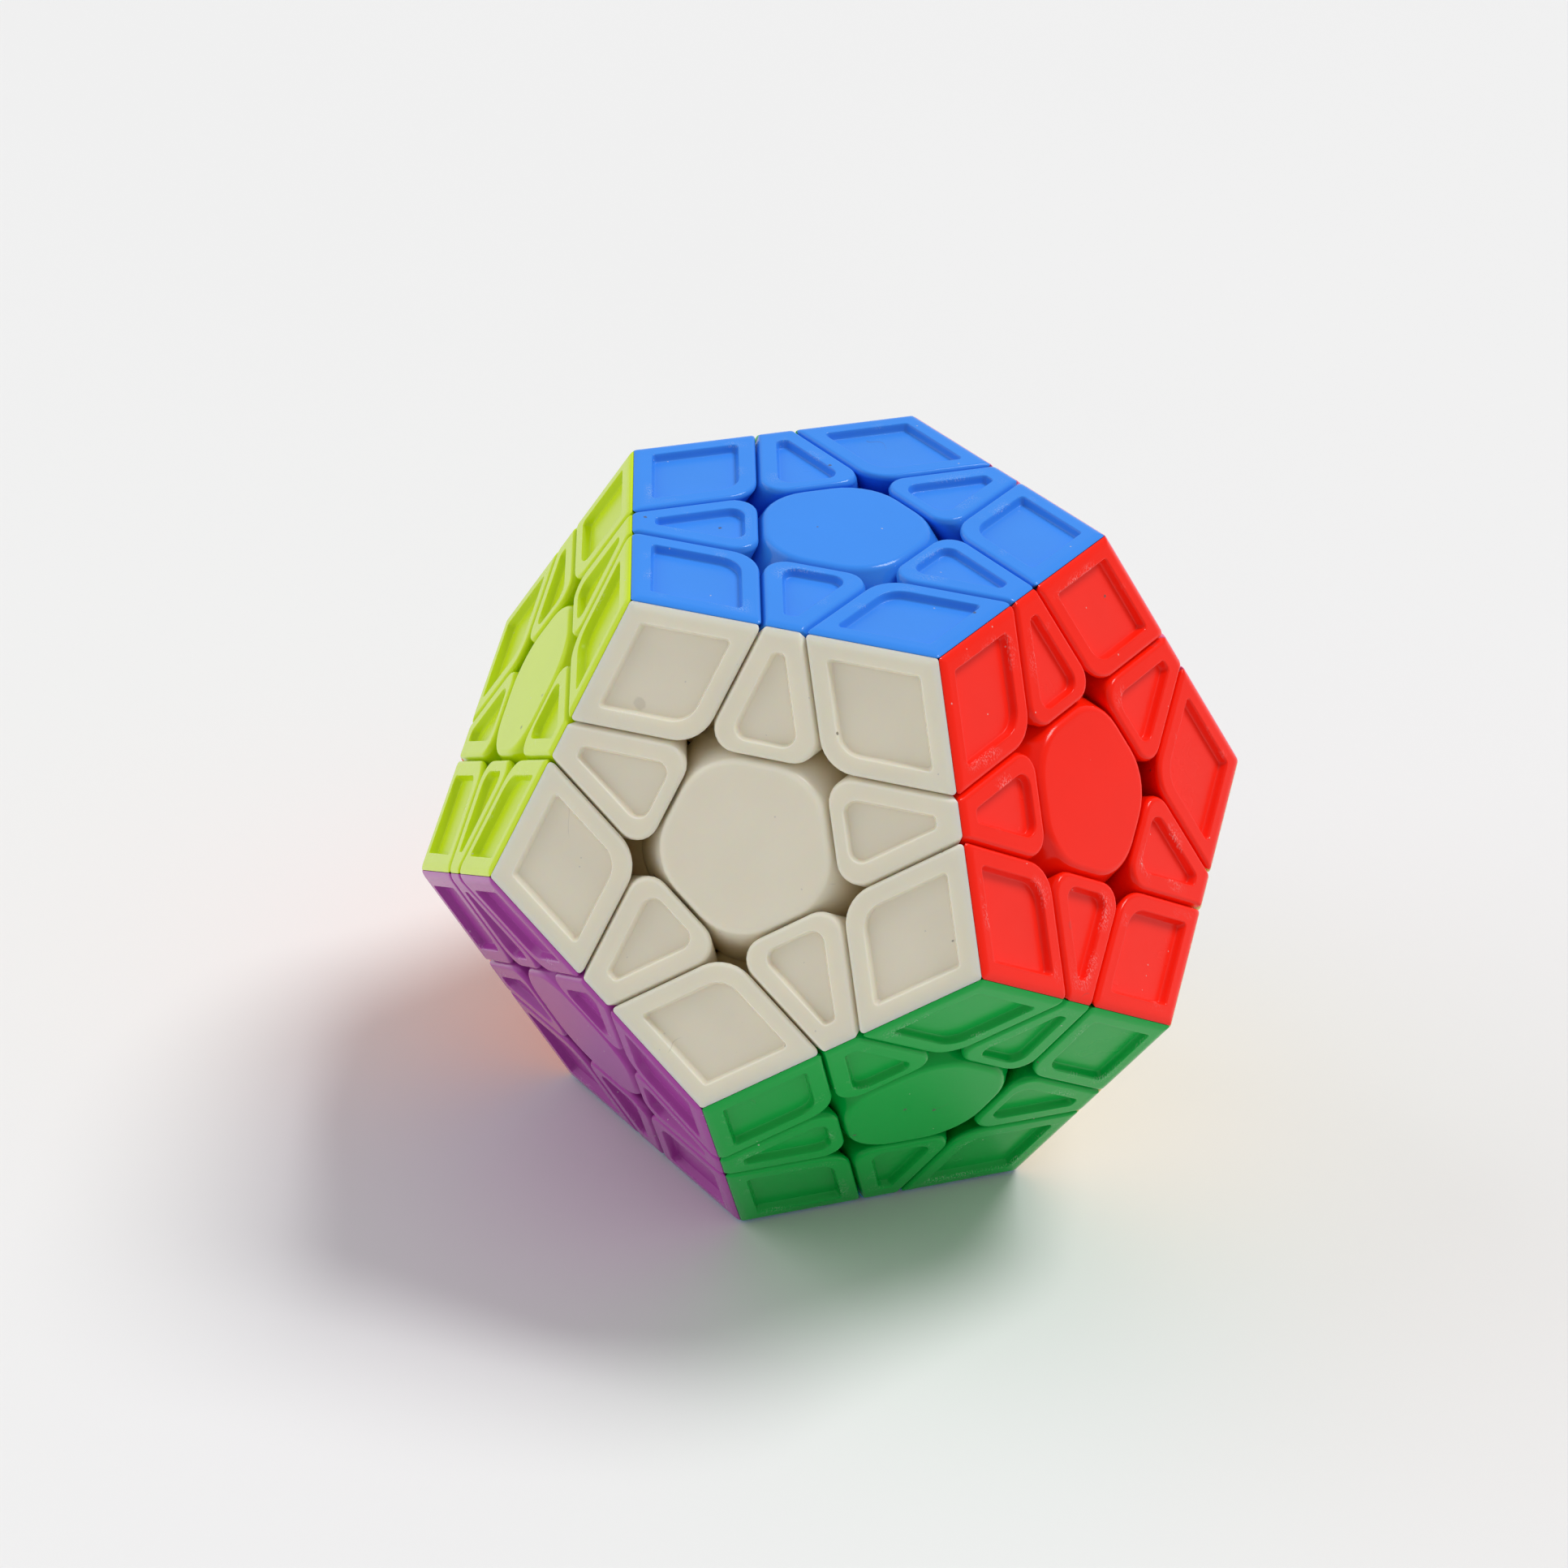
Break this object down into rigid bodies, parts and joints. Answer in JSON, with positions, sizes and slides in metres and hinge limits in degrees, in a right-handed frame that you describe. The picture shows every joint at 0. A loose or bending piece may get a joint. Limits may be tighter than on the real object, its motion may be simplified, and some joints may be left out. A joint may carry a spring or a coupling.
{
  "type": "dodecahedron twisty puzzle",
  "caption": "Twelve-coloured dodecahedron puzzle whose face layers each turn about the middle of the face, with sculpted sunk tiles and rounded gaps.",
  "frame": {"origin": "centre of the puzzle, where all twelve turning axes meet", "axes": "+Z along the blue face's axis, away from the face it stands on; the white face looks towards -Y"},
  "size_m": [0.0786, 0.0826, 0.0668],
  "materials": {
    "blue_plastic": "satin moulded plastic, blue through and through",
    "white_plastic": "satin moulded plastic, white through and through",
    "red_plastic": "satin moulded plastic, red through and through",
    "pink_plastic": "satin moulded plastic, pink through and through",
    "mint_plastic": "satin moulded plastic, mint through and through",
    "lime_plastic": "satin moulded plastic, lime through and through",
    "green_plastic": "satin moulded plastic, green through and through",
    "cream_plastic": "satin moulded plastic, cream through and through",
    "grey_plastic": "satin moulded plastic, grey through and through",
    "orange_plastic": "satin moulded plastic, orange through and through",
    "purple_plastic": "satin moulded plastic, purple through and through",
    "sky_plastic": "satin moulded plastic, sky through and through",
    "core_plastic": "satin black moulded plastic",
    "screw_steel": "zinc-plated steel"
  },
  "bodies": {
    "core": {"core_with_centre_sky": "core_plastic"},
    "centre_blue": {"centre_blue": "blue_plastic"},
    "centre_white": {"centre_white": "white_plastic"},
    "centre_red": {"centre_red": "red_plastic"},
    "centre_pink": {"centre_pink": "pink_plastic"},
    "centre_mint": {"centre_mint": "mint_plastic"},
    "centre_lime": {"centre_lime": "lime_plastic"},
    "centre_green": {"centre_green": "green_plastic", "edge_green_sky": "green_plastic"},
    "centre_cream": {"centre_cream": "cream_plastic", "edge_cream_sky": "cream_plastic"},
    "centre_grey": {"centre_grey_with_edge_sky": "grey_plastic"},
    "centre_orange": {"centre_orange_with_edge_sky": "orange_plastic"},
    "centre_purple": {"centre_purple": "purple_plastic", "edge_purple_sky": "purple_plastic"},
    "edge_blue_white": {"edge_blue_white": "blue_plastic"},
    "edge_blue_red": {"edge_blue_red": "blue_plastic"},
    "edge_blue_pink": {"edge_blue_pink": "blue_plastic"},
    "edge_blue_mint": {"edge_blue_mint": "blue_plastic"},
    "edge_blue_lime": {"edge_blue_lime": "blue_plastic"},
    "edge_white_red": {"edge_white_red": "white_plastic"},
    "edge_white_lime": {"edge_white_lime": "white_plastic"},
    "edge_white_green": {"edge_white_green": "white_plastic"},
    "edge_white_purple": {"edge_white_purple": "white_plastic"},
    "edge_red_pink": {"edge_red_pink": "red_plastic"},
    "edge_red_green": {"edge_red_green": "red_plastic"},
    "edge_red_cream": {"edge_red_cream": "red_plastic"},
    "edge_pink_mint": {"edge_pink_mint": "pink_plastic"},
    "edge_pink_cream": {"edge_pink_cream": "pink_plastic"},
    "edge_pink_grey": {"edge_pink_grey": "pink_plastic"},
    "edge_mint_lime": {"edge_mint_lime": "mint_plastic"},
    "edge_mint_grey": {"edge_mint_grey": "mint_plastic"},
    "edge_mint_orange": {"edge_mint_orange": "mint_plastic"},
    "edge_lime_orange": {"edge_lime_orange": "lime_plastic"},
    "edge_lime_purple": {"edge_lime_purple": "lime_plastic"},
    "edge_green_cream": {"edge_green_cream": "green_plastic", "corner_green_cream_sky": "green_plastic"},
    "edge_green_purple": {"edge_green_purple": "green_plastic", "corner_green_purple_sky": "green_plastic"},
    "edge_cream_grey": {"edge_cream_grey": "cream_plastic", "corner_cream_grey_sky": "cream_plastic"},
    "edge_grey_orange": {"edge_grey_orange": "grey_plastic", "corner_grey_orange_sky": "grey_plastic"},
    "edge_orange_purple": {"edge_orange_purple": "orange_plastic", "corner_orange_purple_sky": "orange_plastic"},
    "corner_blue_white_red": {"corner_blue_white_red": "blue_plastic"},
    "corner_blue_white_lime": {"corner_blue_white_lime": "blue_plastic"},
    "corner_blue_red_pink": {"corner_blue_red_pink": "blue_plastic"},
    "corner_blue_pink_mint": {"corner_blue_pink_mint": "blue_plastic"},
    "corner_blue_mint_lime": {"corner_blue_mint_lime": "blue_plastic"},
    "corner_white_red_green": {"corner_white_red_green": "white_plastic"},
    "corner_white_lime_purple": {"corner_white_lime_purple": "white_plastic"},
    "corner_white_green_purple": {"corner_white_green_purple": "white_plastic"},
    "corner_red_pink_cream": {"corner_red_pink_cream": "red_plastic"},
    "corner_red_green_cream": {"corner_red_green_cream": "red_plastic"},
    "corner_pink_mint_grey": {"corner_pink_mint_grey": "pink_plastic"},
    "corner_pink_cream_grey": {"corner_pink_cream_grey": "pink_plastic"},
    "corner_mint_lime_orange": {"corner_mint_lime_orange": "mint_plastic"},
    "corner_mint_grey_orange": {"corner_mint_grey_orange": "mint_plastic"},
    "corner_lime_orange_purple": {"corner_lime_orange_purple": "lime_plastic"}
  },
  "joints": [
    {"name": "turn_blue", "type": "hinge", "parent": "core", "child": "centre_blue", "pos_m": [0, 0, 0], "axis": [0, 0, 1], "continuous": true},
    {"name": "turn_white", "type": "hinge", "parent": "core", "child": "centre_white", "pos_m": [0, 0, 0], "axis": [0, -0.8944, 0.4472], "range_deg": [-360, 360]},
    {"name": "turn_red", "type": "hinge", "parent": "core", "child": "centre_red", "pos_m": [0, 0, 0], "axis": [0.8507, -0.2764, 0.4472], "range_deg": [-360, 360]},
    {"name": "turn_pink", "type": "hinge", "parent": "core", "child": "centre_pink", "pos_m": [0, 0, 0], "axis": [0.5257, 0.7236, 0.4472], "range_deg": [-360, 360]},
    {"name": "turn_mint", "type": "hinge", "parent": "core", "child": "centre_mint", "pos_m": [0, 0, 0], "axis": [-0.5257, 0.7236, 0.4472], "range_deg": [-360, 360]},
    {"name": "turn_lime", "type": "hinge", "parent": "core", "child": "centre_lime", "pos_m": [0, 0, 0], "axis": [-0.8507, -0.2764, 0.4472], "range_deg": [-360, 360]},
    {"name": "turn_green", "type": "hinge", "parent": "core", "child": "centre_green", "pos_m": [0, 0, 0], "axis": [0.5257, -0.7236, -0.4472], "continuous": true},
    {"name": "turn_cream", "type": "hinge", "parent": "core", "child": "centre_cream", "pos_m": [0, 0, 0], "axis": [0.8507, 0.2764, -0.4472], "range_deg": [-360, 360]},
    {"name": "turn_grey", "type": "hinge", "parent": "core", "child": "centre_grey", "pos_m": [0, 0, 0], "axis": [0, 0.8944, -0.4472], "range_deg": [-360, 360]},
    {"name": "turn_orange", "type": "hinge", "parent": "core", "child": "centre_orange", "pos_m": [0, 0, 0], "axis": [-0.8507, 0.2764, -0.4472], "continuous": true},
    {"name": "turn_purple", "type": "hinge", "parent": "core", "child": "centre_purple", "pos_m": [0, 0, 0], "axis": [-0.5257, -0.7236, -0.4472], "range_deg": [-360, 360]},
    {"name": "edge_blue_white_about_white", "type": "hinge", "parent": "centre_blue", "child": "edge_blue_white", "pos_m": [0, 0, 0], "axis": [0, -0.8944, 0.4472], "range_deg": [-360, 360]},
    {"name": "edge_blue_red_about_red", "type": "hinge", "parent": "centre_blue", "child": "edge_blue_red", "pos_m": [0, 0, 0], "axis": [0.8507, -0.2764, 0.4472], "range_deg": [-360, 360]},
    {"name": "edge_blue_pink_about_pink", "type": "hinge", "parent": "centre_blue", "child": "edge_blue_pink", "pos_m": [0, 0, 0], "axis": [0.5257, 0.7236, 0.4472], "range_deg": [-360, 360]},
    {"name": "edge_blue_mint_about_mint", "type": "hinge", "parent": "centre_blue", "child": "edge_blue_mint", "pos_m": [0, 0, 0], "axis": [-0.5257, 0.7236, 0.4472], "range_deg": [-360, 360]},
    {"name": "edge_blue_lime_about_lime", "type": "hinge", "parent": "centre_blue", "child": "edge_blue_lime", "pos_m": [0, 0, 0], "axis": [-0.8507, -0.2764, 0.4472], "range_deg": [-360, 360]},
    {"name": "edge_white_red_about_red", "type": "hinge", "parent": "centre_white", "child": "edge_white_red", "pos_m": [0, 0, 0], "axis": [0.8507, -0.2764, 0.4472], "range_deg": [-360, 360]},
    {"name": "edge_white_lime_about_lime", "type": "hinge", "parent": "centre_white", "child": "edge_white_lime", "pos_m": [0, 0, 0], "axis": [-0.8507, -0.2764, 0.4472], "range_deg": [-360, 360]},
    {"name": "edge_white_green_about_green", "type": "hinge", "parent": "centre_white", "child": "edge_white_green", "pos_m": [0, 0, 0], "axis": [0.5257, -0.7236, -0.4472], "continuous": true},
    {"name": "edge_white_purple_about_purple", "type": "hinge", "parent": "centre_white", "child": "edge_white_purple", "pos_m": [0, 0, 0], "axis": [-0.5257, -0.7236, -0.4472], "range_deg": [-360, 360]},
    {"name": "edge_red_pink_about_pink", "type": "hinge", "parent": "centre_red", "child": "edge_red_pink", "pos_m": [0, 0, 0], "axis": [0.5257, 0.7236, 0.4472], "range_deg": [-360, 360]},
    {"name": "edge_red_green_about_green", "type": "hinge", "parent": "centre_red", "child": "edge_red_green", "pos_m": [0, 0, 0], "axis": [0.5257, -0.7236, -0.4472], "continuous": true},
    {"name": "edge_red_cream_about_cream", "type": "hinge", "parent": "centre_red", "child": "edge_red_cream", "pos_m": [0, 0, 0], "axis": [0.8507, 0.2764, -0.4472], "range_deg": [-360, 360]},
    {"name": "edge_pink_mint_about_mint", "type": "hinge", "parent": "centre_pink", "child": "edge_pink_mint", "pos_m": [0, 0, 0], "axis": [-0.5257, 0.7236, 0.4472], "range_deg": [-360, 360]},
    {"name": "edge_pink_cream_about_cream", "type": "hinge", "parent": "centre_pink", "child": "edge_pink_cream", "pos_m": [0, 0, 0], "axis": [0.8507, 0.2764, -0.4472], "range_deg": [-360, 360]},
    {"name": "edge_pink_grey_about_grey", "type": "hinge", "parent": "centre_pink", "child": "edge_pink_grey", "pos_m": [0, 0, 0], "axis": [0, 0.8944, -0.4472], "range_deg": [-360, 360]},
    {"name": "edge_mint_lime_about_lime", "type": "hinge", "parent": "centre_mint", "child": "edge_mint_lime", "pos_m": [0, 0, 0], "axis": [-0.8507, -0.2764, 0.4472], "range_deg": [-360, 360]},
    {"name": "edge_mint_grey_about_grey", "type": "hinge", "parent": "centre_mint", "child": "edge_mint_grey", "pos_m": [0, 0, 0], "axis": [0, 0.8944, -0.4472], "range_deg": [-360, 360]},
    {"name": "edge_mint_orange_about_orange", "type": "hinge", "parent": "centre_mint", "child": "edge_mint_orange", "pos_m": [0, 0, 0], "axis": [-0.8507, 0.2764, -0.4472], "continuous": true},
    {"name": "edge_lime_orange_about_orange", "type": "hinge", "parent": "centre_lime", "child": "edge_lime_orange", "pos_m": [0, 0, 0], "axis": [-0.8507, 0.2764, -0.4472], "continuous": true},
    {"name": "edge_lime_purple_about_purple", "type": "hinge", "parent": "centre_lime", "child": "edge_lime_purple", "pos_m": [0, 0, 0], "axis": [-0.5257, -0.7236, -0.4472], "range_deg": [-360, 360]},
    {"name": "edge_green_cream_about_cream", "type": "hinge", "parent": "centre_green", "child": "edge_green_cream", "pos_m": [0, 0, 0], "axis": [0.8507, 0.2764, -0.4472], "range_deg": [-360, 360]},
    {"name": "edge_green_purple_about_purple", "type": "hinge", "parent": "centre_green", "child": "edge_green_purple", "pos_m": [0, 0, 0], "axis": [-0.5257, -0.7236, -0.4472], "range_deg": [-360, 360]},
    {"name": "edge_cream_grey_about_grey", "type": "hinge", "parent": "centre_cream", "child": "edge_cream_grey", "pos_m": [0, 0, 0], "axis": [0, 0.8944, -0.4472], "range_deg": [-360, 360]},
    {"name": "edge_grey_orange_about_orange", "type": "hinge", "parent": "centre_grey", "child": "edge_grey_orange", "pos_m": [0, 0, 0], "axis": [-0.8507, 0.2764, -0.4472], "continuous": true},
    {"name": "edge_orange_purple_about_purple", "type": "hinge", "parent": "centre_orange", "child": "edge_orange_purple", "pos_m": [0, 0, 0], "axis": [-0.5257, -0.7236, -0.4472], "range_deg": [-360, 360]},
    {"name": "corner_blue_white_red_about_red", "type": "hinge", "parent": "edge_blue_white", "child": "corner_blue_white_red", "pos_m": [0, 0, 0], "axis": [0.8507, -0.2764, 0.4472], "range_deg": [-360, 360]},
    {"name": "corner_blue_white_lime_about_lime", "type": "hinge", "parent": "edge_blue_white", "child": "corner_blue_white_lime", "pos_m": [0, 0, 0], "axis": [-0.8507, -0.2764, 0.4472], "range_deg": [-360, 360]},
    {"name": "corner_blue_red_pink_about_pink", "type": "hinge", "parent": "edge_blue_red", "child": "corner_blue_red_pink", "pos_m": [0, 0, 0], "axis": [0.5257, 0.7236, 0.4472], "range_deg": [-360, 360]},
    {"name": "corner_blue_pink_mint_about_mint", "type": "hinge", "parent": "edge_blue_pink", "child": "corner_blue_pink_mint", "pos_m": [0, 0, 0], "axis": [-0.5257, 0.7236, 0.4472], "range_deg": [-360, 360]},
    {"name": "corner_blue_mint_lime_about_lime", "type": "hinge", "parent": "edge_blue_mint", "child": "corner_blue_mint_lime", "pos_m": [0, 0, 0], "axis": [-0.8507, -0.2764, 0.4472], "range_deg": [-360, 360]},
    {"name": "corner_white_red_green_about_green", "type": "hinge", "parent": "edge_white_red", "child": "corner_white_red_green", "pos_m": [0, 0, 0], "axis": [0.5257, -0.7236, -0.4472], "continuous": true},
    {"name": "corner_white_lime_purple_about_purple", "type": "hinge", "parent": "edge_white_lime", "child": "corner_white_lime_purple", "pos_m": [0, 0, 0], "axis": [-0.5257, -0.7236, -0.4472], "range_deg": [-360, 360]},
    {"name": "corner_white_green_purple_about_purple", "type": "hinge", "parent": "edge_white_green", "child": "corner_white_green_purple", "pos_m": [0, 0, 0], "axis": [-0.5257, -0.7236, -0.4472], "range_deg": [-360, 360]},
    {"name": "corner_red_pink_cream_about_cream", "type": "hinge", "parent": "edge_red_pink", "child": "corner_red_pink_cream", "pos_m": [0, 0, 0], "axis": [0.8507, 0.2764, -0.4472], "range_deg": [-360, 360]},
    {"name": "corner_red_green_cream_about_cream", "type": "hinge", "parent": "edge_red_green", "child": "corner_red_green_cream", "pos_m": [0, 0, 0], "axis": [0.8507, 0.2764, -0.4472], "range_deg": [-360, 360]},
    {"name": "corner_pink_mint_grey_about_grey", "type": "hinge", "parent": "edge_pink_mint", "child": "corner_pink_mint_grey", "pos_m": [0, 0, 0], "axis": [0, 0.8944, -0.4472], "range_deg": [-360, 360]},
    {"name": "corner_pink_cream_grey_about_grey", "type": "hinge", "parent": "edge_pink_cream", "child": "corner_pink_cream_grey", "pos_m": [0, 0, 0], "axis": [0, 0.8944, -0.4472], "range_deg": [-360, 360]},
    {"name": "corner_mint_lime_orange_about_orange", "type": "hinge", "parent": "edge_mint_lime", "child": "corner_mint_lime_orange", "pos_m": [0, 0, 0], "axis": [-0.8507, 0.2764, -0.4472], "continuous": true},
    {"name": "corner_mint_grey_orange_about_orange", "type": "hinge", "parent": "edge_mint_grey", "child": "corner_mint_grey_orange", "pos_m": [0, 0, 0], "axis": [-0.8507, 0.2764, -0.4472], "continuous": true},
    {"name": "corner_lime_orange_purple_about_purple", "type": "hinge", "parent": "edge_lime_orange", "child": "corner_lime_orange_purple", "pos_m": [0, 0, 0], "axis": [-0.5257, -0.7236, -0.4472], "range_deg": [-360, 360]}
  ],
  "couplings": [
    {"joint": "edge_blue_white_about_white", "follows": "turn_white", "ratio": 1},
    {"joint": "edge_blue_red_about_red", "follows": "turn_red", "ratio": 1},
    {"joint": "edge_blue_pink_about_pink", "follows": "turn_pink", "ratio": 1},
    {"joint": "edge_blue_mint_about_mint", "follows": "turn_mint", "ratio": 1},
    {"joint": "edge_blue_lime_about_lime", "follows": "turn_lime", "ratio": 1},
    {"joint": "edge_white_red_about_red", "follows": "turn_red", "ratio": 1},
    {"joint": "edge_white_lime_about_lime", "follows": "turn_lime", "ratio": 1},
    {"joint": "edge_white_green_about_green", "follows": "turn_green", "ratio": 1},
    {"joint": "edge_white_purple_about_purple", "follows": "turn_purple", "ratio": 1},
    {"joint": "edge_red_pink_about_pink", "follows": "turn_pink", "ratio": 1},
    {"joint": "edge_red_green_about_green", "follows": "turn_green", "ratio": 1},
    {"joint": "edge_red_cream_about_cream", "follows": "turn_cream", "ratio": 1},
    {"joint": "edge_pink_mint_about_mint", "follows": "turn_mint", "ratio": 1},
    {"joint": "edge_pink_cream_about_cream", "follows": "turn_cream", "ratio": 1},
    {"joint": "edge_pink_grey_about_grey", "follows": "turn_grey", "ratio": 1},
    {"joint": "edge_mint_lime_about_lime", "follows": "turn_lime", "ratio": 1},
    {"joint": "edge_mint_grey_about_grey", "follows": "turn_grey", "ratio": 1},
    {"joint": "edge_mint_orange_about_orange", "follows": "turn_orange", "ratio": 1},
    {"joint": "edge_lime_orange_about_orange", "follows": "turn_orange", "ratio": 1},
    {"joint": "edge_lime_purple_about_purple", "follows": "turn_purple", "ratio": 1},
    {"joint": "edge_green_cream_about_cream", "follows": "turn_cream", "ratio": 1},
    {"joint": "edge_green_purple_about_purple", "follows": "turn_purple", "ratio": 1},
    {"joint": "edge_cream_grey_about_grey", "follows": "turn_grey", "ratio": 1},
    {"joint": "edge_grey_orange_about_orange", "follows": "turn_orange", "ratio": 1},
    {"joint": "edge_orange_purple_about_purple", "follows": "turn_purple", "ratio": 1},
    {"joint": "corner_blue_white_red_about_red", "follows": "turn_red", "ratio": 1},
    {"joint": "corner_blue_white_lime_about_lime", "follows": "turn_lime", "ratio": 1},
    {"joint": "corner_blue_red_pink_about_pink", "follows": "turn_pink", "ratio": 1},
    {"joint": "corner_blue_pink_mint_about_mint", "follows": "turn_mint", "ratio": 1},
    {"joint": "corner_blue_mint_lime_about_lime", "follows": "turn_lime", "ratio": 1},
    {"joint": "corner_white_red_green_about_green", "follows": "turn_green", "ratio": 1},
    {"joint": "corner_white_lime_purple_about_purple", "follows": "turn_purple", "ratio": 1},
    {"joint": "corner_white_green_purple_about_purple", "follows": "turn_purple", "ratio": 1},
    {"joint": "corner_red_pink_cream_about_cream", "follows": "turn_cream", "ratio": 1},
    {"joint": "corner_red_green_cream_about_cream", "follows": "turn_cream", "ratio": 1},
    {"joint": "corner_pink_mint_grey_about_grey", "follows": "turn_grey", "ratio": 1},
    {"joint": "corner_pink_cream_grey_about_grey", "follows": "turn_grey", "ratio": 1},
    {"joint": "corner_mint_lime_orange_about_orange", "follows": "turn_orange", "ratio": 1},
    {"joint": "corner_mint_grey_orange_about_orange", "follows": "turn_orange", "ratio": 1},
    {"joint": "corner_lime_orange_purple_about_purple", "follows": "turn_purple", "ratio": 1}
  ]
}
